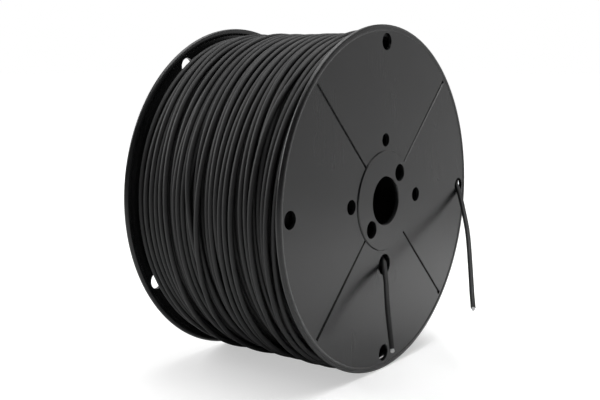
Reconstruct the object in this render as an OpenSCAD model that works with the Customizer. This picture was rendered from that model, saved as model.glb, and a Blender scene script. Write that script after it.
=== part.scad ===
// Wire spool: a black moulded plastic spool wound full of sheathed wire.
// The spool's axis lies along Y and the front flange faces -Y. +Z is up.
// The origin is on the axis, midway between the two flanges. Lengths are in millimetres.

/* [Spool] */
// Diameter of both flanges
flange_d = 230; // [225:1:250]
// Width over the beads of the two rims
spool_w = 128; // [118:1:150]
// Angle by which the back flange is turned against the front one
back_turn = 32; // [0:1:89]

/* [Flange] */
// Thickness of the flange plate
plate_t = 2.4; // [1.8:0.1:3]
// Thickness of the rounded bead along the rim
bead_t = 3.6; // [3:0.1:5]
// Width of the bead from the rim inwards
bead_w = 5; // [3.6:0.1:6]
// Height of the bead above the outer face
bead_proud = 0.4; // [0.2:0.1:0.8]
// Width of a radial groove at the hub
groove_w_hub = 1.8; // [1:0.1:3]
// Width of a radial groove at the rim
groove_w_rim = 2.8; // [1:0.1:4]
// Depth of the radial grooves
groove_depth = 1; // [0.5:0.1:1.4]
// How far each wall of a groove leans in down to its floor
groove_draft = 0.5; // [0:0.1:0.7]
// Plain strip between a groove's end and the bead
groove_rim_gap = 0.4; // [0.2:0.2:6]

/* [Hub] */
// Diameter of the raised hub disc
hub_d = 67; // [64:0.5:69]
// Height of the hub disc above the flange's face
hub_raise = 0.8; // [0.6:0.1:2]
// Chamfer along the hub disc's edge
hub_chamfer = 0.6; // [0.2:0.1:0.7]
// Diameter of the bore for the arbor
bore_d = 32; // [26:0.5:35]
// Chamfer at the mouth of the bore
bore_chamfer = 0.5; // [0.2:0.1:0.8]
// Diameter of the two drive holes
drive_hole_d = 11.4; // [8:0.1:12.4]
// Diameter of the circle on which the drive holes lie
drive_circle_d = 48.8; // [48.5:0.1:49.2]
// Chamfer at the mouths of the drive holes
drive_chamfer = 0.3; // [0.2:0.1:0.4]

/* [Wire holes] */
// Diameter of the four holes near the rim
rim_hole_d = 11.2; // [8:0.1:13]
// Distance of the rim holes' centres from the flange's edge
rim_hole_in = 11; // [10:0.5:14]
// Diameter of the small hole above the hub
top_hole_d = 8.8; // [6:0.1:10]
// Diameter of the hole on each side of the hub
side_hole_d = 9.8; // [6:0.1:10]
// Distance of these three holes' centres from the core tube
hub_hole_out = 5.2; // [5.2:0.1:8]
// Diameter of the start hole, through which the inner end of the wire leaves
start_hole_d = 14.4; // [12:0.1:15]
// Distance of the start hole's centre from the core tube
start_hole_out = 8.2; // [8:0.1:10]

/* [Core tube] */
// Outer diameter of the core tube
tube_d = 70; // [69.5:0.5:72]
// Wall of the core tube
tube_wall = 2; // [1.8:0.1:2.2]
// Length of the ring on each flange that the tube snaps over
spigot_len = 12; // [11:0.5:20]
// Wall of that ring
spigot_wall = 2; // [1.6:0.1:2.2]
// Gap all round between the ring and the tube
spigot_gap = 0.2; // [0.1:0.05:0.3]
// Distance of the snap bead from the flange
snap_in = 8; // [7:0.5:9]
// Height of the snap bead
snap_h = 0.5; // [0.3:0.1:0.6]
// Number of slots that let the ring give
slots = 8; // [4:1:12]
// Width of a slot
slot_w = 1.6; // [1:0.1:3]
// Length of a slot
slot_len = 10; // [6:0.5:11]

/* [Wire] */
// Diameter of the wire over its sheath
wire_d = 3.4; // [3:0.1:3.4]
// Diameter of the bare strands at the wire's ends
strands_d = 2.2; // [1.4:0.1:2.6]
// Length of the bare strands
strands_len = 1.4; // [1:0.1:6]
// Diameter over the winding's outermost turns
winding_d = 224; // [210:1:224]
// Drop of the outer turns, which hang loose
winding_sag = 2.4; // [0:0.1:2.4]
// Gap between neighbouring turns
turn_gap = 1.1; // [0.6:0.1:2]
// Number of lower turns at each end of the winding
shoulder_turns = 3; // [1:1:4]
// Step from each of these to the next
shoulder_step = 2.8; // [2:0.1:3]

/* [Hidden] */

plastic_black = "#2b2c2e";
sheath_black = "#1f2022";
tinned = "#c9cacc";

fine = 180;         // segments of the large rounds
small = 48;         // segments of the holes
cut_past = 1;       // how far a cutter runs past the face it cuts
snap_r = 0.8;       // radius of the snap bead's round
snap_gap = 0.3;     // room round the snap bead in the tube's groove
winding_gap = 0.2;  // gap between the tube and the first turns
cord_sides = 8;

flange_r = flange_d / 2;
bead_middle_r = flange_r - bead_w / 2;
hub_r = hub_d / 2;
bore_r = bore_d / 2;
tube_r = tube_d / 2;
wire_r = wire_d / 2;

// distances along the axis from the middle of the spool
outer_face = spool_w / 2 - bead_proud;
inner_face = outer_face - plate_t;
hub_face = outer_face + hub_raise;
hub_inside = hub_face - plate_t;

spigot_r = tube_r - tube_wall - spigot_gap;
snap_centre_r = spigot_r + snap_h - snap_r;
rim_hole_r = flange_r - rim_hole_in;
hub_hole_r = tube_r + hub_hole_out;
start_hole_r = tube_r + start_hole_out;

winding_w = 2 * inner_face;
turns = floor(winding_w / (wire_d + turn_gap));
turn_pitch = winding_w / turns;
top_turn_r = winding_d / 2 - wire_r;

// where the wire's ends come out of the winding, behind the front flange
lead_start = -56.8;
pocket_depth = inner_face + lead_start;

// routes of the wire's two ends, from the winding to the cut
outer_route = [
    [105.8, -56.8, 3.1], [105.4, -58.5, 2.4], [105, -60.1, 1.4], [104.5, -61.5, 0.2],
    [103.9, -62.8, -1.1], [103.2, -63.9, -2.6], [102.4, -65, -4.3], [101.2, -66.6, -7],
    [99.6, -68.6, -10.4], [97.6, -70.8, -14], [95.4, -72.9, -17.5], [90.7, -77.1, -23.9],
    [85.6, -81.2, -29.8], [79.8, -85.2, -35.7], [73.5, -89.2, -41.6], [64.2, -94.9, -50.3],
    [54.8, -100.6, -59.1], [46.7, -105.5, -66.6], [39, -110.4, -73.8]];
inner_route = [
    [3.8, -56.8, -39.2], [3.2, -58.4, -39.6], [2.4, -59.9, -40.1], [1.5, -61.4, -40.8],
    [0.4, -62.7, -41.6], [-0.9, -63.8, -42.5], [-2.2, -64.9, -43.5], [-3.6, -66, -44.7],
    [-5, -67.1, -46], [-8.4, -69.7, -49.2], [-12, -72.6, -53.1], [-16.6, -75.9, -58.6],
    [-20.8, -79.1, -64.5], [-24.3, -82, -70.5], [-27.4, -84.9, -76.8], [-30, -87.6, -83],
    [-32.4, -90.1, -89]];

// Radius of a turn's centre line, counted from either end of the winding
function turn_r(i) =
    top_turn_r - shoulder_step * max(0, shoulder_turns - min(i, turns - 1 - i));

// Place of a turn along the axis
function turn_at(i) = (i + 0.5) * turn_pitch - winding_w / 2;

// Direction of a route at one of its points
function heading(route, i) =
    let (a = route[max(i - 1, 0)], b = route[min(i + 1, len(route) - 1)])
    (b - a) / norm(b - a);

// Ring of points round a route, which never runs along X
function ring(route, i, r) =
    let (way = heading(route, i), across = cross([1, 0, 0], way),
         up = across / norm(across), side = cross(way, up))
    [for (k = [0 : cord_sides - 1])
        route[i] + r * (cos(360 * k / cord_sides) * side + sin(360 * k / cord_sides) * up)];

// Turns a shape whose axis is Z, outer face up, to face -Y with its Y side up
module face_front() {
    rotate([90, 0, 0]) children();
}

// The same for a shape that faces +Y, turned against the front
module face_back() {
    rotate([0, -back_turn, 0]) rotate([0, 0, 180]) rotate([90, 0, 0]) children();
}

// Hole through the plate and the hub, with its centre at a radius and an angle
module hole(radius, angle, d) {
    rotate(angle) translate([radius, 0, inner_face - cut_past])
        cylinder(d = d, h = hub_face - inner_face + 2 * cut_past, $fn = small);
}

module flange_profile() {
    polygon([
        [bore_r, hub_inside],
        [bore_r, hub_face - bore_chamfer],
        [bore_r + bore_chamfer, hub_face],
        [hub_r - hub_chamfer, hub_face],
        [hub_r, hub_face - hub_chamfer],
        [hub_r, outer_face],
        [bead_middle_r, outer_face],
        [bead_middle_r, inner_face],
        [spigot_r, inner_face],
        [spigot_r, inner_face - spigot_len],
        [spigot_r - spigot_wall, inner_face - spigot_len],
        [spigot_r - spigot_wall, hub_inside]]);
}

// Bead with an oval section that runs once round the axis
module round_bead(centre_r, at, width, thickness) {
    rotate_extrude($fn = fine) translate([centre_r, at])
        scale([width, thickness]) circle(d = 1, $fn = small);
}

// Corners of a groove's outline at a height above the outer face
function groove_corners(above) =
    let (groove_end = flange_r - bead_w - groove_rim_gap,
         lean = groove_draft * above / groove_depth,
         at_hub = groove_w_hub / 2 + lean, at_rim = groove_w_rim / 2 + lean,
         at = outer_face + above)
    [[hub_r, -at_hub, at], [groove_end, -at_rim, at],
     [groove_end, at_rim, at], [hub_r, at_hub, at]];

// Cutter for one radial groove between the hub and the rim
module groove() {
    polyhedron(
        concat(groove_corners(-groove_depth), groove_corners(cut_past)),
        [[0, 1, 2, 3], [4, 5, 1, 0], [7, 6, 5, 4], [5, 6, 2, 1], [6, 7, 3, 2], [7, 4, 0, 3]]);
}

// Cutter for one slot in the spigot ring
module spigot_slot() {
    reach = spigot_wall + snap_h + 2 * cut_past;
    translate([spigot_r - spigot_wall - cut_past, -slot_w / 2, inner_face - spigot_len - cut_past])
        cube([reach, slot_w, slot_len + cut_past]);
}

// One flange with its hub and the ring that the core tube snaps over
module flange() {
    difference() {
        union() {
            rotate_extrude($fn = fine) flange_profile();
            round_bead(bead_middle_r, outer_face + bead_proud - bead_t / 2, bead_w, bead_t);
            round_bead(snap_centre_r, inner_face - snap_in, 2 * snap_r, 2 * snap_r);
        }
        for (angle = [0 : 90 : 270]) hole(rim_hole_r, angle, rim_hole_d);
        for (angle = [0, 180]) hole(hub_hole_r, angle, side_hole_d);
        hole(hub_hole_r, 90, top_hole_d);
        hole(start_hole_r, 270, start_hole_d);
        for (angle = [45, 225]) {
            hole(drive_circle_d / 2, angle, drive_hole_d);
            rotate(angle) translate([drive_circle_d / 2, 0, hub_face - drive_chamfer])
                cylinder(d1 = drive_hole_d, d2 = drive_hole_d + 2 * drive_chamfer + 2 * cut_past,
                         h = drive_chamfer + cut_past, $fn = small);
        }
        for (angle = [45 : 90 : 315]) rotate(angle) groove();
        for (k = [0 : slots - 1]) rotate((k + 0.5) * 360 / slots) spigot_slot();
    }
}

module front_flange() {
    color(plastic_black) face_front() flange();
}

module back_flange() {
    color(plastic_black) face_back() flange();
}

// Tube between the flanges, with a groove inside each end for the snap beads
module core_tube() {
    color(plastic_black)
        face_front() rotate_extrude($fn = fine) difference() {
            translate([tube_r - tube_wall, -inner_face]) square([tube_wall, 2 * inner_face]);
            for (side = [-1, 1])
                translate([snap_centre_r, side * (inner_face - snap_in)])
                    circle(r = snap_r + snap_gap, $fn = small);
        }
}

// Outline of the wound wire: one half-round ridge for each turn of the top layer
module winding_profile() {
    steps = [for (i = [0 : turns - 1]) each [
        [turn_r(i), turn_at(i) - turn_pitch / 2],
        [turn_r(i), turn_at(i) + turn_pitch / 2]]];
    polygon(concat([[0, -winding_w / 2]], steps, [[0, winding_w / 2]]));
    for (i = [0 : turns - 1])
        translate([turn_r(i), turn_at(i)]) circle(d = wire_d, $fn = small);
}

// Pocket in the winding's front side, behind a hole through which the wire leaves
module lead_pocket(radius, angle, d) {
    rotate(angle) translate([radius, 0, inner_face - pocket_depth])
        cylinder(d = d, h = pocket_depth + cut_past, $fn = small);
}

// All the wire on the tube as one closed ring
module winding() {
    color(sheath_black)
        face_front() difference() {
            translate([0, -winding_sag, 0]) rotate_extrude($fn = fine) winding_profile();
            cylinder(r = tube_r + winding_gap, h = winding_w + 2 * cut_past, center = true, $fn = fine);
            lead_pocket(rim_hole_r, 0, rim_hole_d);
            lead_pocket(start_hole_r, 270, start_hole_d);
        }
}

// Round cord swept along a route
module cord(route, d) {
    last = len(route) - 1;
    points = [for (i = [0 : last]) each ring(route, i, d / 2)];
    walls = [for (i = [0 : last - 1], k = [0 : cord_sides - 1])
        let (a = i * cord_sides + k, b = i * cord_sides + (k + 1) % cord_sides)
        [a, b, b + cord_sides, a + cord_sides]];
    start_cap = [for (k = [cord_sides - 1 : -1 : 0]) k];
    end_cap = [for (k = [0 : cord_sides - 1]) last * cord_sides + k];
    polyhedron(points, concat([start_cap], walls, [end_cap]));
}

// Bare strands that stand out of the end of a route
module strands(route) {
    last = len(route) - 1;
    way = heading(route, last);
    color(tinned)
        translate(route[last]) rotate([0, acos(way.z), atan2(way.y, way.x)])
            cylinder(d = strands_d, h = strands_len, $fn = small);
}

module outer_lead() {
    color(sheath_black) cord(outer_route, wire_d);
}

module outer_strands() {
    strands(outer_route);
}

module inner_lead() {
    color(sheath_black) cord(inner_route, wire_d);
}

module inner_strands() {
    strands(inner_route);
}

front_flange();
back_flange();
core_tube();
winding();
outer_lead();
outer_strands();
inner_lead();
inner_strands();
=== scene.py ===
"""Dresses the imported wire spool: wound wire, the wire's two ends, finishes and a studio stage."""

import math
import random

import bmesh
import bpy
import numpy as np
from bpy.props import FloatProperty, FloatVectorProperty, IntProperty, PointerProperty
from mathutils import Matrix, Vector


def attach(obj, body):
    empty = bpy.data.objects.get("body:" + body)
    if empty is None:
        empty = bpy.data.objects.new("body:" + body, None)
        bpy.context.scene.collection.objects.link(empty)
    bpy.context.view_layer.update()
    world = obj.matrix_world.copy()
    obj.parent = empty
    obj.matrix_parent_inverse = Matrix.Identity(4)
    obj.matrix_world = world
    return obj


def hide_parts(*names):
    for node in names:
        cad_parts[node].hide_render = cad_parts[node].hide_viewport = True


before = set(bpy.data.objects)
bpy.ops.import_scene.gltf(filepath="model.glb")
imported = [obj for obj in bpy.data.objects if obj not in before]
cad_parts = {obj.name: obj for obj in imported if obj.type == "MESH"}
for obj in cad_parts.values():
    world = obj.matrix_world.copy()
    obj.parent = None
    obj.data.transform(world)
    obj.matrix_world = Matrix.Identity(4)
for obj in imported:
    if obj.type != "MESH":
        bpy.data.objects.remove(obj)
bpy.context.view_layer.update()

bl_info = {
    "name": "Wire Spool",
    "version": (1, 0, 0),
    "blender": (4, 5, 0),
    "location": "3D View > Sidebar > Wire Spool",
    "description": "Winds the wire on a flanged spool, leads its ends out and finishes the mouldings",
    "category": "Object",
}

BODY = "root"
FLANGE_INSIDE = 0.0612  # distance of the flanges' inner faces from the middle
RIM_RADIUS = 0.115
BORE_RADIUS = 0.016
CORE_INSIDE = 0.0354  # radius at which the wire begins, just off the core tube
CORE_END_GAP = 0.0062  # room that the closed body of wire leaves at each flange

# Routes of the wire's two ends, from the winding to the cut
OUTER_ROUTE = [
    (0.1058, -0.0568, 0.0031), (0.1054, -0.0585, 0.0024), (0.105, -0.0601, 0.0014),
    (0.1045, -0.0615, 0.0002), (0.1039, -0.0628, -0.0011), (0.1032, -0.0639, -0.0026),
    (0.1024, -0.065, -0.0043), (0.1012, -0.0666, -0.007), (0.0996, -0.0686, -0.0104),
    (0.0976, -0.0708, -0.014), (0.0954, -0.0729, -0.0175), (0.0907, -0.0771, -0.0239),
    (0.0856, -0.0812, -0.0298), (0.0798, -0.0852, -0.0357), (0.0735, -0.0892, -0.0416),
    (0.0642, -0.0949, -0.0503), (0.0548, -0.1006, -0.0591), (0.0467, -0.1055, -0.0666),
    (0.039, -0.1104, -0.0738)]
INNER_ROUTE = [
    (0.0038, -0.0568, -0.0392), (0.0032, -0.0584, -0.0396), (0.0024, -0.0599, -0.0401),
    (0.0015, -0.0614, -0.0408), (0.0004, -0.0627, -0.0416), (-0.0009, -0.0638, -0.0425),
    (-0.0022, -0.0649, -0.0435), (-0.0036, -0.066, -0.0447), (-0.005, -0.0671, -0.046),
    (-0.0084, -0.0697, -0.0492), (-0.012, -0.0726, -0.0531), (-0.0166, -0.0759, -0.0586),
    (-0.0208, -0.0791, -0.0645), (-0.0243, -0.082, -0.0705), (-0.0274, -0.0849, -0.0768),
    (-0.03, -0.0876, -0.083), (-0.0324, -0.0901, -0.089)]

# How the wire lies on the spool, in millimetres
HIDDEN_FIRST = 55.0  # place along the axis of the first top turn on the side not listed below
HIDDEN_LAST = -59.2  # and of the last one
HIDDEN_STRAY = 1.0  # how far a turn strays from its even place there
KNOT_STRAY = 0.8  # and by how much more high and low on that side
HIGHEST_TURN = 113.1  # largest radius of a turn, inside the rim
CLOSE = 0.985  # share of the wire's diameter to which turns press together
UNDER_GAP = 0.12  # gap between neighbouring turns of the lower layer
UNDER_REACH = 58.5  # distance of that layer's end turns from the middle
UNDER_STRAY = 0.7  # how far they stray from their even places
UNDER_SAG = 0.5  # how far they hang below a true circle on both sides, twice that at the bottom

# The turns of the top layer, from the back flange to the front one. Each row has the
# turn's slack and its place along the axis at these angles above the left side, all in
# millimetres. A turn without slack lies on the turns below it all the way round.
PLACE_ANGLES = (60, 30, 10, 0, -15, -30, -40, -50)
TOP_TURNS = (
    (0.0, 54.8, 54.8, 54.8, 54.8, 54.7, 54.4, 53.6, 52.5),
    (0.6, 46.6, 47.3, 49.0, 49.8, 48.4, 46.4, 44.2, 41.6),
    (0.4, 42.4, 41.6, 42.8, 43.5, 44.6, 45.3, 43.0, 40.4),
    (0.2, 40.5, 41.0, 40.8, 40.6, 40.2, 39.5, 38.8, 38.0),
    (0.8, 39.4, 36.5, 35.8, 35.4, 35.2, 34.8, 34.4, 34.0),
    (2.4, 35.8, 33.8, 30.6, 29.1, 28.4, 28.2, 29.3, 33.4),
    (0.4, 27.3, 27.0, 25.6, 25.0, 24.7, 24.5, 24.7, 25.0),
    (1.0, 19.4, 21.5, 23.4, 24.3, 22.3, 21.3, 20.9, 20.5),
    (1.2, 17.8, 19.5, 19.7, 19.8, 19.9, 19.8, 19.6, 19.0),
    (0.8, 15.9, 16.7, 17.0, 17.0, 16.4, 15.6, 15.2, 15.0),
    (0.4, 12.7, 12.8, 11.4, 10.4, 8.9, 7.5, 6.6, 6.0),
    (0.2, 9.5, 10.0, 11.6, 12.4, 13.0, 13.4, 13.0, 12.5),
    (0.6, 8.2, 7.4, 6.0, 5.2, 4.4, 4.0, 4.4, 5.0),
    (2.4, 4.3, 1.3, 1.6, 2.3, 4.4, 8.1, 10.8, 15.5),
    (0.8, -2.5, -3.8, -4.2, -4.3, -3.8, -3.0, -2.5, -2.0),
    (1.4, -4.8, -5.6, -7.9, -8.2, -7.2, -5.9, -5.0, -4.2),
    (1.2, -11.6, -11.2, -10.9, -10.6, -11.4, -12.2, -11.8, -11.0),
    (1.6, -18.4, -16.0, -15.6, -15.4, -14.0, -12.4, -11.2, -10.0),
    (2.0, -19.7, -19.4, -19.4, -19.3, -18.5, -17.3, -15.9, -14.2),
    (2.2, -26.4, -24.9, -24.5, -24.3, -23.2, -21.4, -20.0, -18.0),
    (1.0, -28.3, -30.1, -30.3, -30.4, -30.8, -31.0, -30.9, -30.4),
    (1.2, -31.0, -33.0, -34.2, -35.2, -35.4, -34.5, -34.2, -34.0),
    (0.6, -37.4, -38.6, -39.6, -40.0, -40.6, -41.0, -41.0, -41.0),
    (2.4, -46.0, -42.0, -40.1, -39.6, -39.3, -39.0, -36.5, -32.8),
    (0.8, -42.2, -42.4, -43.8, -44.6, -45.2, -45.2, -44.6, -44.0),
    (0.8, -49.0, -49.0, -47.8, -47.2, -46.2, -45.8, -45.4, -45.0),
    (2.2, -54.0, -52.4, -51.9, -51.6, -49.8, -47.6, -45.8, -43.8),
    (1.8, -57.5, -57.2, -56.9, -56.6, -54.4, -51.9, -50.0, -47.6),
    (2.2, -59.4, -59.4, -59.4, -59.4, -59.4, -59.4, -59.4, -59.4),
)

# The last turn lies against the front flange. It rises by so many millimetres more at
# these angles, highest behind the holes at the top and on the right.
RISE_ANGLES = (-180, -150, -110, -60, 0, 60, 90, 120, 150, 180)
RISES = (3.8, 2.9, 1.0, 0.0, 0.0, 1.6, 2.4, 2.6, 3.6, 3.8)


class WindingSizes(bpy.types.PropertyGroup):
    """Sizes of the wire and of its turns"""

    wire_diameter: FloatProperty(
        name="Wire Diameter", description="Diameter of the wire over its sheath",
        default=0.0034, min=0.002, max=0.005, unit="LENGTH")
    top_radius: FloatProperty(
        name="Top Layer Radius", description="Radius on which the top turns lie where they have no slack",
        default=0.1082, min=0.09, max=0.113, unit="LENGTH")
    under_radius: FloatProperty(
        name="Under Layer Radius", description="Radius of the layer below the top turns",
        default=0.1044, min=0.08, max=0.11, unit="LENGTH")
    core_radius: FloatProperty(
        name="Core Radius", description="Radius of the closed body of wire below these layers",
        default=0.1012, min=0.05, max=0.106, unit="LENGTH")
    samples: IntProperty(
        name="Samples", description="Points along each turn", default=144, min=48, max=240)


class LeadSizes(bpy.types.PropertyGroup):
    """Sizes of the wire's two ends"""

    outer_length: FloatProperty(
        name="Outer End", description="Length of the end that leaves through the rim hole",
        default=0.117, min=0.03, unit="LENGTH")
    inner_length: FloatProperty(
        name="Inner End", description="Length of the end that leaves through the start hole",
        default=0.072, min=0.03, unit="LENGTH")
    strand_diameter: FloatProperty(
        name="Strand", description="Diameter of one bare strand",
        default=0.00046, min=0.0002, max=0.001, unit="LENGTH")
    strand_length: FloatProperty(
        name="Bare Length", description="How far the strands stand out of the sheath",
        default=0.0014, min=0.0005, max=0.006, unit="LENGTH")


class SpoolFinish(bpy.types.PropertyGroup):
    """Colours and gloss of the spool's materials"""

    plastic_colour: FloatVectorProperty(
        name="Plastic", description="Colour of the moulded flanges and tube",
        subtype="COLOR", size=4, min=0, max=1, default=(0.009, 0.0092, 0.0097, 1))
    plastic_roughness: FloatProperty(
        name="Plastic Roughness", description="Roughness of the moulded surface",
        subtype="FACTOR", default=0.25, min=0, max=1)
    sheath_colour: FloatVectorProperty(
        name="Sheath", description="Colour of the wire's sheath",
        subtype="COLOR", size=4, min=0, max=1, default=(0.007, 0.0071, 0.0075, 1))
    sheath_roughness: FloatProperty(
        name="Sheath Roughness", description="Roughness of the wire's sheath",
        subtype="FACTOR", default=0.60, min=0, max=1)
    strand_colour: FloatVectorProperty(
        name="Strands", description="Colour of the tinned strands",
        subtype="COLOR", size=4, min=0, max=1, default=(0.82, 0.82, 0.83, 1))


class StageSetup(bpy.types.PropertyGroup):
    """Camera, lamps and floor"""

    focal_length: FloatProperty(
        name="Focal Length", description="Focal length of the camera in millimetres",
        default=57.0, min=10, max=300)
    azimuth: FloatProperty(
        name="Azimuth", description="Direction from which the camera looks",
        subtype="ANGLE", default=math.radians(-53.3))
    elevation: FloatProperty(
        name="Elevation", description="Height of the camera above the horizon",
        subtype="ANGLE", default=math.radians(7.86))
    distance: FloatProperty(
        name="Distance", description="Distance of the camera from its target",
        default=0.6607, min=0.2, unit="LENGTH")
    target: FloatVectorProperty(
        name="Target", description="Point at which the camera looks",
        subtype="XYZ", size=3, default=(-0.00905, 0, -0.0039))
    ambient: FloatProperty(
        name="Ambient", description="Strength of the light from all round",
        default=0.03, min=0, max=2)
    floor_glow: FloatProperty(
        name="Floor Glow", description="Part of the floor's white that shadows leave",
        subtype="FACTOR", default=0.5, min=0, max=1)
    top_lamp: FloatProperty(
        name="Top Lamp", description="Power of the soft lamp overhead in watts", default=25.0, min=0)
    left_lamp: FloatProperty(
        name="Left Lamp", description="Power of the soft lamp at the back on the left in watts",
        default=18.0, min=0)
    back_lamp: FloatProperty(
        name="Back Lamp", description="Power of the dim lamp high at the back on the right in watts",
        default=4.0, min=0)
    right_lamp: FloatProperty(
        name="Right Lamp", description="Power of the wide dim lamp in front on the right in watts",
        default=5.0, min=0)
    floor_size: FloatProperty(
        name="Floor Size", description="Distance of the floor's edges from the spool",
        default=30.0, min=1, unit="LENGTH")
    floor_lit: FloatProperty(
        name="Floor Reflectance", description="How much light the floor throws back on the spool",
        subtype="FACTOR", default=0.86, min=0, max=1)
    floor_seen: FloatProperty(
        name="Floor Grey", description="How light the lamps make the floor for the camera",
        subtype="FACTOR", default=0.62, min=0, max=1)
    floor_lamp: FloatProperty(
        name="Floor Lamp", description="Power of the lamp over the floor in front on the right in watts",
        default=0.34, min=0)


# ---------------------------------------------------------------- materials

def nodes_of(material):
    """Empties a material's node tree and gives its tree and Principled shader."""
    material.use_nodes = True
    tree = material.node_tree
    tree.nodes.clear()
    output = tree.nodes.new("ShaderNodeOutputMaterial")
    shader = tree.nodes.new("ShaderNodeBsdfPrincipled")
    tree.links.new(shader.outputs["BSDF"], output.inputs["Surface"])
    return tree, shader


def add(tree, kind, **settings):
    """New node with its settings. A setting whose name is a socket's goes on that socket."""
    node = tree.nodes.new(kind)
    for name, value in settings.items():
        if hasattr(node, name):
            setattr(node, name, value)
        else:
            node.inputs[name.replace("_", " ")].default_value = value
    return node


def math_node(tree, operation, first, second=None, clamp=False):
    """Math node whose inputs are sockets or numbers. Gives its output."""
    node = tree.nodes.new("ShaderNodeMath")
    node.operation = operation
    node.use_clamp = clamp
    for socket, value in zip(node.inputs, (first, second)):
        if value is None:
            continue
        if isinstance(value, (int, float)):
            socket.default_value = value
        else:
            tree.links.new(value, socket)
    return node.outputs[0]


def ramp(tree, value, low, high, out_low=0.0, out_high=1.0):
    """Smooth step of a value from low to high. Gives its output."""
    node = tree.nodes.new("ShaderNodeMapRange")
    node.interpolation_type = "SMOOTHSTEP"
    tree.links.new(value, node.inputs["Value"])
    node.inputs["From Min"].default_value = low
    node.inputs["From Max"].default_value = high
    node.inputs["To Min"].default_value = out_low
    node.inputs["To Max"].default_value = out_high
    return node.outputs["Result"]


def noise(tree, vector, scale, detail=2.0, roughness=0.5, w=None):
    """Noise texture on a vector, four-dimensional where w is given. Gives its factor."""
    node = tree.nodes.new("ShaderNodeTexNoise")
    node.inputs["Scale"].default_value = scale
    node.inputs["Detail"].default_value = detail
    node.inputs["Roughness"].default_value = roughness
    if w is not None:
        node.noise_dimensions = "4D"
        tree.links.new(w, node.inputs["W"])
    tree.links.new(vector, node.inputs["Vector"])
    return node.outputs["Fac"]


def new_group(name, inputs, outputs):
    """Shader node group with named sockets. Gives the group, its input node and output node."""
    group = bpy.data.node_groups.new(name, "ShaderNodeTree")
    for socket, kind, value in inputs:
        made = group.interface.new_socket(socket, in_out="INPUT", socket_type=kind)
        if value is not None:
            made.default_value = value
    for socket, kind in outputs:
        group.interface.new_socket(socket, in_out="OUTPUT", socket_type=kind)
    return group, group.nodes.new("NodeGroupInput"), group.nodes.new("NodeGroupOutput")


def axis_coordinates(tree, vector):
    """Radius from the spool's axis, height along it, and the direction's cosine and sine."""
    split = tree.nodes.new("ShaderNodeSeparateXYZ")
    tree.links.new(vector, split.inputs[0])
    x, y, z = split.outputs
    radius = math_node(tree, "SQRT", math_node(
        tree, "ADD", math_node(tree, "MULTIPLY", x, x), math_node(tree, "MULTIPLY", z, z)))
    safe = math_node(tree, "MAXIMUM", radius, 0.0001)
    return radius, y, math_node(tree, "DIVIDE", x, safe), math_node(tree, "DIVIDE", z, safe)


def dust_group():
    """Fine dust and dull patches that lie thicker on surfaces that face up."""
    group, entry, leave = new_group(
        "surface_dust",
        [("Vector", "NodeSocketVector", None), ("Patch Size", "NodeSocketFloat", 30.0),
         ("Speck Size", "NodeSocketFloat", 900.0), ("Upward", "NodeSocketFloat", 0.5)],
        [("Dust", "NodeSocketFloat"), ("Specks", "NodeSocketFloat")])
    patches = noise(group, entry.outputs["Vector"], 30.0, 3.0, 0.6)
    group.links.new(entry.outputs["Patch Size"], patches.node.inputs["Scale"])
    specks = noise(group, entry.outputs["Vector"], 900.0, 1.0, 0.5)
    group.links.new(entry.outputs["Speck Size"], specks.node.inputs["Scale"])
    normal = group.nodes.new("ShaderNodeNewGeometry")
    split = group.nodes.new("ShaderNodeSeparateXYZ")
    group.links.new(normal.outputs["Normal"], split.inputs[0])
    upward = ramp(group, split.outputs["Z"], -0.2, 1.0)
    upward = math_node(group, "MULTIPLY", upward, entry.outputs["Upward"])
    dust = math_node(group, "MULTIPLY", ramp(group, patches, 0.4, 0.75),
                     math_node(group, "ADD", upward, 0.35), clamp=True)
    group.links.new(dust, leave.inputs["Dust"])
    group.links.new(ramp(group, specks, 0.74, 0.8), leave.inputs["Specks"])
    return group


def scratch_group():
    """Sparse fine scratches that cross at a few angles."""
    group, entry, leave = new_group(
        "fine_scratches",
        [("Vector", "NodeSocketVector", None), ("Scale", "NodeSocketFloat", 60.0)],
        [("Scratches", "NodeSocketFloat")])
    masks = []
    for turn, stretch in ((0.4, 0.05), (1.5, 0.04), (2.4, 0.06)):
        mapping = add(group, "ShaderNodeMapping")
        mapping.inputs["Rotation"].default_value = (0.0, turn, 0.0)
        mapping.inputs["Scale"].default_value = (1.0, 1.0, stretch)
        group.links.new(entry.outputs["Vector"], mapping.inputs["Vector"])
        streaks = noise(group, mapping.outputs[0], 60.0, 2.0, 0.6)
        group.links.new(entry.outputs["Scale"], streaks.node.inputs["Scale"])
        line = math_node(group, "ABSOLUTE", math_node(group, "SUBTRACT", streaks, 0.5))
        masks.append(ramp(group, line, 0.006, 0.0))
    both = math_node(group, "MAXIMUM", masks[0], math_node(group, "MAXIMUM", masks[1], masks[2]))
    where = noise(group, entry.outputs["Vector"], 22.0, 1.0, 0.5)
    group.links.new(math_node(group, "MULTIPLY", both, ramp(group, where, 0.52, 0.66)),
                    leave.inputs["Scratches"])
    return group


def streak_group():
    """Lines that run round the spool's axis, as an extruded sheath or a turned mould has."""
    group, entry, leave = new_group(
        "round_streaks",
        [("Vector", "NodeSocketVector", None), ("Fineness", "NodeSocketFloat", 2500.0),
         ("Change", "NodeSocketFloat", 3.0)],
        [("Streaks", "NodeSocketFloat")])
    radius, along, cosine, sine = axis_coordinates(group, entry.outputs["Vector"])
    join = group.nodes.new("ShaderNodeCombineXYZ")
    group.links.new(math_node(group, "MULTIPLY", radius, entry.outputs["Fineness"]), join.inputs["X"])
    group.links.new(math_node(group, "MULTIPLY", along, entry.outputs["Fineness"]), join.inputs["Y"])
    group.links.new(math_node(group, "MULTIPLY", cosine, entry.outputs["Change"]), join.inputs["Z"])
    streaks = noise(group, join.outputs[0], 1.0, 2.0, 0.55,
                    w=math_node(group, "MULTIPLY", sine, entry.outputs["Change"]))
    group.links.new(streaks, leave.inputs["Streaks"])
    return group


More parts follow.
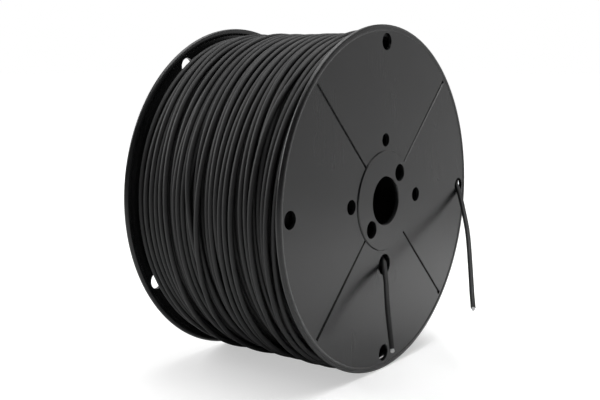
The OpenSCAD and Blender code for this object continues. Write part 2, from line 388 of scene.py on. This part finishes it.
def use_group(tree, group, vector, **values):
    """Places a node group, gives it the vector and values, and returns the node."""
    node = tree.nodes.new("ShaderNodeGroup")
    node.node_tree = group
    tree.links.new(vector, node.inputs["Vector"])
    for name, value in values.items():
        node.inputs[name.replace("_", " ")].default_value = value
    return node


def mix_colour(tree, factor, first, second):
    """Colour mix. Gives its output."""
    node = tree.nodes.new("ShaderNodeMix")
    node.data_type = "RGBA"
    if isinstance(factor, (int, float)):
        node.inputs[0].default_value = factor
    else:
        tree.links.new(factor, node.inputs[0])
    for socket, value in ((node.inputs[6], first), (node.inputs[7], second)):
        if isinstance(value, tuple):
            socket.default_value = value
        else:
            tree.links.new(value, socket)
    return node.outputs[2]


def cover(tree, base, mask, amount, colour):
    """Lays a colour over a base where a mask is, up to an amount. Gives the mixed colour."""
    return mix_colour(tree, math_node(tree, "MULTIPLY", mask, amount), base, colour)


def plus(tree, value, mask, amount, clamp=False):
    """Raises a value by a mask times an amount. Gives the sum."""
    return math_node(tree, "ADD", value, math_node(tree, "MULTIPLY", mask, amount), clamp=clamp)


def drawn_out(tree, vector, squeeze):
    """Coordinates squeezed along Z, on which a texture is drawn out that way."""
    mapping = add(tree, "ShaderNodeMapping", Scale=(1.0, 1.0, squeeze))
    tree.links.new(vector, mapping.inputs["Vector"])
    return mapping.outputs[0]


def lighter(colour, factor, lift=0.0):
    """Colour times a factor plus a lift, as a tuple of four."""
    return tuple(min(1.0, c * factor + lift) for c in colour[:3]) + (1.0,)


def groups():
    """The shared node groups, built once."""
    if not bpy.data.node_groups.get("surface_dust"):
        dust_group()
        scratch_group()
        streak_group()
    return (bpy.data.node_groups["surface_dust"], bpy.data.node_groups["fine_scratches"],
            bpy.data.node_groups["round_streaks"])


def plastic_material(name, finish):
    """Satin black moulded plastic with a fine grain, mould lines, dust, scratches and worn edges."""
    dust, scratches, streaks = groups()
    material = bpy.data.materials.new(name)
    tree, shader = nodes_of(material)
    place = tree.nodes.new("ShaderNodeTexCoord").outputs["Object"]
    colour = tuple(finish.plastic_colour)

    dusty = use_group(tree, dust, place, Patch_Size=26.0, Speck_Size=1500.0, Upward=0.6)
    scratched = use_group(tree, scratches, place, Scale=70.0)
    rings = use_group(tree, streaks, place, Fineness=900.0, Change=1.5)
    radius, _, _, _ = axis_coordinates(tree, place)

    # light rub along the rim and round the bore
    worn_rim = ramp(tree, radius, RIM_RADIUS - 0.0022, RIM_RADIUS - 0.0006)
    worn_bore = ramp(tree, radius, BORE_RADIUS + 0.0012, BORE_RADIUS)
    worn = math_node(tree, "MULTIPLY", math_node(tree, "MAXIMUM", worn_rim, worn_bore),
                     ramp(tree, noise(tree, place, 90.0, 4.0, 0.7), 0.35, 0.75))

    # clouds of slightly lighter and darker plastic from the flow in the mould
    clouds = noise(tree, place, 18.0, 3.0, 0.55)
    base = mix_colour(tree, ramp(tree, clouds, 0.3, 0.7), lighter(colour, 0.85), lighter(colour, 1.15))
    base = cover(tree, base, dusty.outputs["Dust"], 0.30, lighter(colour, 1.6, 0.02))
    base = cover(tree, base, dusty.outputs["Specks"], 0.35, lighter(colour, 2.0, 0.10))
    base = cover(tree, base, scratched.outputs["Scratches"], 0.10, lighter(colour, 2.0, 0.05))
    base = cover(tree, base, worn, 0.25, lighter(colour, 1.8, 0.03))
    tree.links.new(base, shader.inputs["Base Color"])

    # the rim has rubbed on floors and stands and is duller
    rough = plus(tree, finish.plastic_roughness - 0.02, clouds, 0.04)
    rough = plus(tree, rough, dusty.outputs["Dust"], 0.03)
    rough = plus(tree, rough, scratched.outputs["Scratches"], 0.03)
    rough = plus(tree, rough, worn_rim, 0.07, clamp=True)
    tree.links.new(rough, shader.inputs["Roughness"])

    grain = noise(tree, place, 2600.0, 3.0, 0.6)
    height = plus(tree, math_node(tree, "MULTIPLY", grain, 0.35), rings.outputs["Streaks"], 0.12)
    height = plus(tree, height, scratched.outputs["Scratches"], -0.12)
    fine = add(tree, "ShaderNodeBump", Strength=0.14, Distance=0.0001)
    tree.links.new(height, fine.inputs["Height"])
    # shallow waves where the moulding has drawn in as it cooled
    waves = add(tree, "ShaderNodeBump", Strength=1.0, Distance=0.0003)
    tree.links.new(noise(tree, place, 9.0, 1.0, 0.4), waves.inputs["Height"])
    tree.links.new(fine.outputs["Normal"], waves.inputs["Normal"])
    tree.links.new(waves.outputs["Normal"], shader.inputs["Normal"])
    return material


def sheath_material(name, finish, along):
    """Matt black sheath with fine lines along the wire, lighter and duller patches and dust."""
    dust, _, streaks = groups()
    material = bpy.data.materials.new(name)
    tree, shader = nodes_of(material)
    place = tree.nodes.new("ShaderNodeTexCoord").outputs["Object"]
    colour = tuple(finish.sheath_colour)
    dusty = use_group(tree, dust, place, Patch_Size=45.0, Speck_Size=1800.0, Upward=0.8)
    if along == "round":
        drawn = use_group(tree, streaks, place, Fineness=2400.0, Change=4.0).outputs["Streaks"]
    else:
        drawn = noise(tree, drawn_out(tree, place, 0.03), 2400.0, 2.0, 0.55)

    patches = noise(tree, place, 70.0, 3.0, 0.6)
    base = mix_colour(tree, ramp(tree, patches, 0.3, 0.7), lighter(colour, 0.8), lighter(colour, 1.2))
    base = cover(tree, base, drawn, 0.35, lighter(colour, 1.35))
    base = cover(tree, base, dusty.outputs["Dust"], 0.35, lighter(colour, 1.5, 0.018))
    base = cover(tree, base, dusty.outputs["Specks"], 0.3, lighter(colour, 2.0, 0.08))
    tree.links.new(base, shader.inputs["Base Color"])

    rough = plus(tree, finish.sheath_roughness - 0.06, patches, 0.12)
    rough = plus(tree, rough, dusty.outputs["Dust"], 0.10, clamp=True)
    tree.links.new(rough, shader.inputs["Roughness"])

    height = plus(tree, math_node(tree, "MULTIPLY", drawn, 0.6),
                  noise(tree, place, 1500.0, 2.0, 0.5), 0.25)
    bump = add(tree, "ShaderNodeBump", Strength=0.25, Distance=0.0001)
    tree.links.new(height, bump.inputs["Height"])
    tree.links.new(bump.outputs["Normal"], shader.inputs["Normal"])
    return material


def strand_material(name, finish):
    """Bright tinned wire with drawing lines and a few dull spots."""
    material = bpy.data.materials.new(name)
    tree, shader = nodes_of(material)
    place = tree.nodes.new("ShaderNodeTexCoord").outputs["Object"]
    colour = tuple(finish.strand_colour)
    spots = noise(tree, place, 1800.0, 2.0, 0.6)
    tree.links.new(mix_colour(tree, ramp(tree, spots, 0.45, 0.7), lighter(colour, 1.0),
                              lighter(colour, 0.72)), shader.inputs["Base Color"])
    shader.inputs["Metallic"].default_value = 0.6
    tree.links.new(plus(tree, 0.34, spots, 0.22), shader.inputs["Roughness"])
    bump = add(tree, "ShaderNodeBump", Strength=0.3, Distance=0.00003)
    tree.links.new(noise(tree, drawn_out(tree, place, 0.05), 9000.0, 1.0, 0.5), bump.inputs["Height"])
    tree.links.new(bump.outputs["Normal"], shader.inputs["Normal"])
    return material


def material_named(name):
    """A finish by its name, built when it is first asked for."""
    found = bpy.data.materials.get(name)
    if found:
        return found
    finish = bpy.context.scene.spool_finish
    makers = {
        "moulded_plastic": lambda: plastic_material(name, finish),
        "wound_sheath": lambda: sheath_material(name, finish, "round"),
        "lead_sheath": lambda: sheath_material(name, finish, "hanging"),
        "tinned_wire": lambda: strand_material(name, finish),
    }
    return makers[name]()


# ---------------------------------------------------------------- shapes

def place_object(name, data, material, slot, *nodes):
    """Links a piece, gives it its finish and lets it ride on the spool in place of CAD nodes."""
    piece = bpy.data.objects.new(name, data)
    bpy.context.scene.collection.objects.link(piece)
    data.materials.append(material_named(material))
    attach(piece, BODY)
    if nodes:
        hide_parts(*nodes)
    return piece


def wire_curve(name, runs, diameter, resolution):
    """Curve with a round section along each run of points."""
    curve = bpy.data.curves.new(name, "CURVE")
    curve.dimensions = "3D"
    curve.twist_mode = "MINIMUM"
    curve.bevel_depth = diameter / 2
    curve.bevel_resolution = resolution
    curve.use_fill_caps = True
    for run in runs:
        spline = curve.splines.new("POLY")
        spline.points.add(len(run) - 1)
        spline.points.foreach_set("co", [c for point in run for c in (*point, 1.0)])
        spline.use_smooth = True
    return curve


def wire_mesh(name, runs, diameter, resolution):
    """Mesh of wires that follow runs of points."""
    curve = wire_curve(name + "_line", runs, diameter, resolution)
    carrier = bpy.data.objects.new(name + "_line", curve)
    bpy.context.scene.collection.objects.link(carrier)
    depsgraph = bpy.context.evaluated_depsgraph_get()
    mesh = bpy.data.meshes.new_from_object(carrier.evaluated_get(depsgraph))
    bpy.data.objects.remove(carrier)
    bpy.data.curves.remove(curve)
    mesh.name = name
    mesh.materials.clear()
    return mesh


def smooth_route(points, step=0.0015):
    """Points close together on the smooth curve through a route's points."""
    points = [Vector(p) for p in points]
    ends = [2 * points[0] - points[1], *points, 2 * points[-1] - points[-2]]
    route = []
    for a, b, c, d in zip(ends, ends[1:], ends[2:], ends[3:]):
        count = max(1, round((c - b).length / step))
        for k in range(count):
            t = k / count
            route.append(0.5 * (2 * b + (c - a) * t + (2 * a - 5 * b + 4 * c - d) * t * t
                                + (3 * b - a - 3 * c + d) * t ** 3))
    return [*route, points[-1]]


def strand_bundle(name, route, sizes, cut, spread):
    """Bare strands that spread a little at the end of a route, cut off at a slant."""
    end = Vector(route[-1])
    way = (end - Vector(route[-2])).normalized()
    side = way.orthogonal().normalized()
    other = way.cross(side)
    slant = (way + Vector(cut)).normalized()
    tip = end + way * sizes.strand_length
    inside = way * 0.002  # stretch inside the sheath
    waste = way * 0.0012  # stretch that the cut takes off
    tight = 0.97  # how close the strands lie inside the sheath, as a share of their diameter
    uneven = 0.0001  # how much longer or shorter one strand may be
    chance = random.Random(7)
    mesh = bmesh.new()
    rings = [(0, 1), (1, 6), (2, 12)]
    for ring, count in rings:
        for k in range(count):
            angle = 2 * math.pi * (k + 0.5 * ring) / count
            out = side * math.cos(angle) + other * math.sin(angle)
            foot = end - inside + out * ring * sizes.strand_diameter * tight
            head = tip + waste + out * ring * sizes.strand_diameter * spread
            head += way * chance.uniform(-uneven, uneven)
            axis = head - foot
            made = bmesh.ops.create_cone(
                mesh, cap_ends=True, segments=12, radius1=sizes.strand_diameter / 2,
                radius2=sizes.strand_diameter / 2, depth=axis.length)
            turn = axis.to_track_quat("Z", "Y").to_matrix().to_4x4()
            bmesh.ops.transform(mesh, matrix=Matrix.Translation((foot + head) / 2) @ turn,
                                verts=made["verts"])
    cut_off = bmesh.ops.bisect_plane(
        mesh, geom=[*mesh.verts, *mesh.edges, *mesh.faces], plane_co=tip, plane_no=slant,
        clear_outer=True)
    edges = [e for e in cut_off["geom_cut"] if isinstance(e, bmesh.types.BMEdge)]
    bmesh.ops.contextual_create(mesh, geom=edges)
    bmesh.ops.holes_fill(mesh, edges=mesh.edges, sides=0)
    bmesh.ops.recalc_face_normals(mesh, faces=mesh.faces)
    data = bpy.data.meshes.new(name)
    mesh.to_mesh(data)
    mesh.free()
    return data


def eased(values, samples, degrees):
    """Smooths a winding's values along the wire."""
    width = degrees / 360 * samples
    reach = int(3 * width) + 1
    weights = np.exp(-0.5 * (np.arange(-reach, reach + 1) / width) ** 2)
    weights /= weights.sum()
    padded = np.concatenate([np.full(reach, values[0]), values, np.full(reach, values[-1])])
    return np.convolve(padded, weights, "valid")


def turn_angles(samples):
    """Angles of one turn's points, which start and end on the right side. The left side is 0."""
    return 180 - 360 * np.arange(samples) / samples


def top_turn_places(samples):
    """Place along the axis of every point of the top layer, one row for each turn, in millimetres."""
    count = len(TOP_TURNS)
    chance = random.Random(11)
    hidden = [HIDDEN_FIRST + (HIDDEN_LAST - HIDDEN_FIRST) * k / (count - 1) for k in range(count)]
    hidden = [place + chance.uniform(-HIDDEN_STRAY, HIDDEN_STRAY) for place in hidden]
    angles = turn_angles(samples)
    rows = []
    for k, (_, *seen) in enumerate(TOP_TURNS):
        before = hidden[max(k - 1, 0)]
        after = hidden[min(k + 1, count - 1)]
        # the turn starts on the hidden side, crosses the listed angles and comes back to that side
        knots = [(180, (before + hidden[k]) / 2),
                 (140, hidden[k] + chance.uniform(-KNOT_STRAY, KNOT_STRAY)),
                 (100, (hidden[k] + seen[0]) / 2)]
        knots += list(zip(PLACE_ANGLES, seen))
        knots += [(-80, (hidden[k] + seen[-1]) / 2),
                  (-120, hidden[k] + chance.uniform(-KNOT_STRAY, KNOT_STRAY)),
                  (-180, (hidden[k] + after) / 2)]
        knots.reverse()
        rows.append(np.interp(angles, [a for a, _ in knots], [v for _, v in knots]))
    # the last turn keeps its place by the flange on the hidden side too
    rows[-1][:] = TOP_TURNS[-1][1]
    return eased(np.concatenate(rows), samples, 7).reshape(count, samples)


def under_turn_places(samples, wire):
    """The same for the lower layer, whose turns lie close together."""
    chance = random.Random(5)
    pitch = wire + UNDER_GAP
    count = int(2 * UNDER_REACH / pitch)
    angles = turn_angles(samples)
    rows = []
    for k in range(count):
        start = UNDER_REACH - (k + 0.5) * pitch
        stray = np.interp(-angles, [-180, -90, 0, 90, 180],
                          [0, *(chance.uniform(-UNDER_STRAY, UNDER_STRAY) for _ in range(3)), 0])
        rows.append(start - pitch * (180 - angles) / 360 + pitch / 2 + stray)
    return eased(np.concatenate(rows), samples, 10).reshape(count, samples)


def settle(places, radii, under_places, under_radii, wire):
    """Pushes turns apart until no two lie in each other. The lower layer stays where it is."""
    steps = 90
    force = 0.3  # share of an overlap that one step takes away
    sideways = 0.35  # how much of a push goes along the axis
    least_lift = 0.4  # turns that cross at one radius part by this much
    count, samples = places.shape
    rank = radii.mean(axis=1)
    for step in range(steps):
        for low in range(count):
            for high in range(low + 1, count):
                away = places[high] - places[low]
                if np.abs(away).min() > wire:
                    continue
                lift = radii[high] - radii[low]
                upward = np.sign(rank[high] - rank[low] + 1e-6)
                lift = lift + np.where(np.abs(lift) < least_lift, least_lift * upward, 0)
                gap = np.sqrt(away ** 2 + lift ** 2)
                push = np.clip(wire - gap, 0, None) * force
                gap = np.maximum(gap, 0.1)
                places[high] += sideways * push * away / gap
                places[low] -= sideways * push * away / gap
                radii[high] += push * lift / gap
                radii[low] -= push * lift / gap
        # no turn sinks into the lower layer or rises past the rim
        nearest = np.abs(places[:, None, :] - under_places[None, :, :])
        floor = np.where(nearest < wire, under_radii[None, :, :] + np.sqrt(
            np.clip(wire ** 2 - nearest ** 2, 0, None)), 0).max(axis=1)
        radii[:] = np.minimum(np.maximum(radii, floor), HIGHEST_TURN)
        # every few steps the wire's course is eased again
        if step % 6 == 5:
            radii[:] = eased(radii.ravel(), samples, 4).reshape(count, samples)
            places[:] = eased(places.ravel(), samples, 3).reshape(count, samples)
    return places, radii


def winding_points(places, radii, samples):
    """Points of a wound wire from its places and radii in millimetres, in metres."""
    turn = np.radians(turn_angles(samples))
    count = places.shape[0]
    across = -np.tile(np.cos(turn), count) * radii.ravel()
    up = np.tile(np.sin(turn), count) * radii.ravel()
    return np.stack([across, places.ravel(), up], axis=1) / 1000


def lay_winding(sizes):
    """Places and radii of the two uppermost layers."""
    samples = sizes.samples
    wire = sizes.wire_diameter * 1000
    down = 1 - np.sin(np.radians(turn_angles(samples)))  # 0 on top, 2 at the bottom
    # both layers are a little lower at the flanges
    under = under_turn_places(samples, wire)
    shoulder = 2.2 * np.clip((np.abs(under) - 50) / 8, 0, 1) ** 1.5
    under_radii = sizes.under_radius * 1000 + UNDER_SAG * down[None, :] - shoulder
    top = top_turn_places(samples)
    slack = np.array([row[0] for row in TOP_TURNS])[:, None]
    shoulder = 1.6 * np.clip((np.abs(top) - 52) / 5, 0, 1)
    radii = sizes.top_radius * 1000 + slack * down[None, :] - shoulder
    radii[-1] += np.interp(turn_angles(samples), RISE_ANGLES, RISES)
    top, radii = settle(top, radii, under, under_radii, wire * CLOSE)
    return top, radii, under, under_radii


def ridged_core(name, sizes):
    """Closed body of wire below the upper layers, with a ridge for each turn on every side."""
    wire = sizes.wire_diameter
    outer = sizes.core_radius
    inner = CORE_INSIDE
    half = FLANGE_INSIDE - CORE_END_GAP
    turns = round(2 * half / wire)
    pitch = 2 * half / turns
    layers = round((outer - inner) / wire)
    rise = (outer - inner) / layers
    bumps = [math.pi * (k + 0.5) / 4 for k in range(4)]
    profile = [(inner, -half)]
    for k in range(layers):
        middle = inner + (k + 0.5) * rise
        profile += [(middle - rise / 2 * math.cos(a), -half - wire / 2 * math.sin(a)) for a in bumps]
    profile.append((outer, -half))
    for k in range(turns):
        middle = -half + (k + 0.5) * pitch
        profile += [(outer + wire / 2 * math.sin(a), middle - pitch / 2 * math.cos(a)) for a in bumps]
    profile.append((outer, half))
    for k in range(layers):
        middle = outer - (k + 0.5) * rise
        profile += [(middle + rise / 2 * math.cos(a), half + wire / 2 * math.sin(a)) for a in bumps]
    profile.append((inner, half))
    mesh = bmesh.new()
    verts = [mesh.verts.new((radius, along, 0)) for radius, along in profile]
    edges = [mesh.edges.new(pair) for pair in zip(verts, verts[1:] + verts[:1])]
    bmesh.ops.spin(mesh, geom=[*verts, *edges], cent=(0, 0, 0), axis=(0, 1, 0),
                   angle=2 * math.pi, steps=96, use_merge=True, use_duplicate=False)
    bmesh.ops.remove_doubles(mesh, verts=mesh.verts, dist=1e-6)
    bmesh.ops.recalc_face_normals(mesh, faces=mesh.faces)
    for face in mesh.faces:
        face.smooth = True
    data = bpy.data.meshes.new(name)
    mesh.to_mesh(data)
    mesh.free()
    return data


# ---------------------------------------------------------------- operators

class WIRESPOOL_OT_stage(bpy.types.Operator):
    """Camera, floor, background and lamps"""

    bl_idname = "wire_spool.stage"
    bl_label = "Stage"

    def execute(self, context):
        setup = context.scene.spool_stage
        scene = context.scene
        azimuth, elevation = setup.azimuth, setup.elevation
        back = Vector((math.sin(azimuth) * math.cos(elevation),
                       -math.cos(azimuth) * math.cos(elevation), math.sin(elevation)))
        camera = bpy.data.objects.new("camera", bpy.data.cameras.new("camera"))
        camera.data.sensor_width = 36.0
        camera.data.lens = setup.focal_length
        camera.data.clip_start = 0.01
        camera.location = Vector(setup.target) + back * setup.distance
        camera.rotation_mode = "QUATERNION"
        camera.rotation_quaternion = (-back).to_track_quat("-Z", "Y")
        scene.collection.objects.link(camera)
        scene.camera = camera
        scene.view_settings.view_transform = "Standard"

        # white to the camera, plain ambient light otherwise
        world = bpy.data.worlds.new("studio")
        scene.world = world
        world.use_nodes = True
        tree = world.node_tree
        background = tree.nodes["Background"]
        background.inputs["Color"].default_value = (1, 1, 1, 1)
        path = tree.nodes.new("ShaderNodeLightPath")
        strength = math_node(tree, "ADD", setup.ambient, math_node(
            tree, "MULTIPLY", path.outputs["Is Camera Ray"], 1.0 - setup.ambient))
        tree.links.new(strength, background.inputs["Strength"])

        mesh = bmesh.new()
        bmesh.ops.create_grid(mesh, x_segments=1, y_segments=1, size=setup.floor_size,
                              matrix=Matrix.Translation((0, 0, -RIM_RADIUS)))
        data = bpy.data.meshes.new("floor")
        mesh.to_mesh(data)
        mesh.free()
        floor = bpy.data.objects.new("floor", data)
        scene.collection.objects.link(floor)
        material = bpy.data.materials.new("studio_floor")
        data.materials.append(material)
        material.use_nodes = True
        tree = material.node_tree
        tree.nodes.clear()
        output = tree.nodes.new("ShaderNodeOutputMaterial")
        diffuse = tree.nodes.new("ShaderNodeBsdfDiffuse")
        glow = add(tree, "ShaderNodeEmission", Color=(1, 1, 1, 1))
        # the camera sees plain white past the lamps' reach, and near the spool white less its shadow
        place = tree.nodes.new("ShaderNodeTexCoord").outputs["Object"]
        length = tree.nodes.new("ShaderNodeVectorMath")
        length.operation = "LENGTH"
        tree.links.new(place, length.inputs[0])
        near = ramp(tree, length.outputs["Value"], 0.5, 1.6, setup.floor_glow, 1.0)
        path = tree.nodes.new("ShaderNodeLightPath")
        tree.links.new(math_node(tree, "MULTIPLY", path.outputs["Is Camera Ray"], near),
                       glow.inputs["Strength"])
        lit, seen = ((grey, grey, grey, 1) for grey in (setup.floor_lit, setup.floor_seen))
        tree.links.new(mix_colour(tree, path.outputs["Is Camera Ray"], lit, seen),
                       diffuse.inputs["Color"])
        both = tree.nodes.new("ShaderNodeAddShader")
        tree.links.new(diffuse.outputs[0], both.inputs[0])
        tree.links.new(glow.outputs[0], both.inputs[1])
        tree.links.new(both.outputs[0], output.inputs["Surface"])

        # name, power, size, spread in degrees, place and the point at which each lamp is aimed
        for name, power, size, spread, place, aim in (
                ("top_lamp", setup.top_lamp, (1.5, 1.5), 180, (0.15, -0.15, 1.6), (0, 0, 0)),
                ("left_lamp", setup.left_lamp, (1.1, 1.1), 180, (-0.6, 1.15, 0.75), (0, 0, 0)),
                ("back_lamp", setup.back_lamp, (1.0, 1.0), 180, (0.75, 0.9, 0.9), (0, 0, 0)),
                ("right_lamp", setup.right_lamp, (1.8, 1.4), 180, (1.4, -0.72, 0.55), (0, 0, 0.2)),
                ("floor_lamp", setup.floor_lamp, (0.3, 0.3), 40, (0.36, -0.26, 0.85),
                 (0.28, -0.18, -0.115))):
            lamp = bpy.data.lights.new(name, "AREA")
            lamp.shape = "RECTANGLE"
            lamp.size, lamp.size_y = size
            lamp.spread = math.radians(spread)
            lamp.energy = power
            lamp_object = bpy.data.objects.new(name, lamp)
            lamp_object.location = place
            lamp_object.rotation_mode = "QUATERNION"
            lamp_object.rotation_quaternion = (Vector(aim) - Vector(place)).to_track_quat("-Z", "Y")
            scene.collection.objects.link(lamp_object)
        return {"FINISHED"}


class WIRESPOOL_OT_leads(bpy.types.Operator):
    """The wire's two ends with their bare strands"""

    bl_idname = "wire_spool.leads"
    bl_label = "Wire Ends"

    def execute(self, context):
        sizes = context.scene.spool_leads
        wire = context.scene.spool_winding.wire_diameter
        for name, route, length, cut, spread in (
                ("outer", OUTER_ROUTE, sizes.outer_length, (-0.5, -0.3, 0.15), 1.05),
                ("inner", INNER_ROUTE, sizes.inner_length, (-0.6, -0.5, 0.2), 1.30)):
            strands = place_object(
                name + "_lead_strands", strand_bundle(name + "_lead_strands", route, sizes, cut, spread),
                "tinned_wire", "tinned_strands", name + "_strands")
            curve = wire_curve(name + "_lead_wire", [smooth_route(route)], wire, 6)
            lead = place_object(name + "_lead_wire", curve, "lead_sheath", "wire_sheath", name + "_lead")
        return {"FINISHED"}


class WIRESPOOL_OT_winding(bpy.types.Operator):
    """The wound wire: top turns, the layer below them and the closed body of wire under both"""

    bl_idname = "wire_spool.winding"
    bl_label = "Winding"

    def execute(self, context):
        sizes = context.scene.spool_winding
        wire = sizes.wire_diameter
        top, radii, under, under_radii = lay_winding(sizes)
        place_object("winding_top_turns",
                     wire_mesh("winding_top_turns", [winding_points(top, radii, sizes.samples)], wire, 4),
                     "wound_sheath", "wire_sheath", "winding")
        place_object("winding_under_turns",
                     wire_mesh("winding_under_turns",
                               [winding_points(under, under_radii, sizes.samples)], wire, 2),
                     "wound_sheath", "wire_sheath", "winding")
        place_object("winding_core", ridged_core("winding_core", sizes),
                     "wound_sheath", "wire_sheath", "winding")
        return {"FINISHED"}


class WIRESPOOL_OT_mouldings(bpy.types.Operator):
    """The finish of the two flanges and the core tube"""

    bl_idname = "wire_spool.mouldings"
    bl_label = "Mouldings"

    def execute(self, context):
        for name in ("front_flange", "back_flange", "core_tube"):
            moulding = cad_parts[name]
            for part in moulding.material_slots:
                part.material = material_named("moulded_plastic")
            if not moulding.material_slots:
                raise RuntimeError(name + " has no material slot to finish")
        return {"FINISHED"}


class WIRESPOOL_PT_sidebar(bpy.types.Panel):
    """Sizes, colours and pieces of the wire spool"""

    bl_idname = "WIRESPOOL_PT_sidebar"
    bl_label = "Wire Spool"
    bl_space_type = "VIEW_3D"
    bl_region_type = "UI"
    bl_category = "Wire Spool"

    def draw(self, context):
        layout = self.layout
        for title, group in (("Winding", context.scene.spool_winding),
                             ("Wire Ends", context.scene.spool_leads),
                             ("Finish", context.scene.spool_finish),
                             ("Stage", context.scene.spool_stage)):
            box = layout.box()
            box.label(text=title)
            for name in group.bl_rna.properties.keys():
                if name not in ("rna_type", "name"):
                    box.prop(group, name)
        for operator in (WIRESPOOL_OT_stage, WIRESPOOL_OT_leads, WIRESPOOL_OT_winding,
                         WIRESPOOL_OT_mouldings):
            layout.operator(operator.bl_idname)


CLASSES = (WindingSizes, LeadSizes, SpoolFinish, StageSetup, WIRESPOOL_OT_stage,
           WIRESPOOL_OT_leads, WIRESPOOL_OT_winding, WIRESPOOL_OT_mouldings, WIRESPOOL_PT_sidebar)


def register():
    """Registers the classes and hangs the property groups on the scene."""
    for item in CLASSES:
        bpy.utils.register_class(item)
    bpy.types.Scene.spool_winding = PointerProperty(type=WindingSizes)
    bpy.types.Scene.spool_leads = PointerProperty(type=LeadSizes)
    bpy.types.Scene.spool_finish = PointerProperty(type=SpoolFinish)
    bpy.types.Scene.spool_stage = PointerProperty(type=StageSetup)


def unregister():
    """Takes the property groups and classes away again."""
    for name in ("spool_winding", "spool_leads", "spool_finish", "spool_stage"):
        delattr(bpy.types.Scene, name)
    for item in reversed(CLASSES):
        bpy.utils.unregister_class(item)


def main():
    """Makes every piece in order."""
    register()
    bpy.ops.wire_spool.stage()
    bpy.ops.wire_spool.leads()
    bpy.ops.wire_spool.winding()
    bpy.ops.wire_spool.mouldings()


if __name__ == "__main__":
    main()
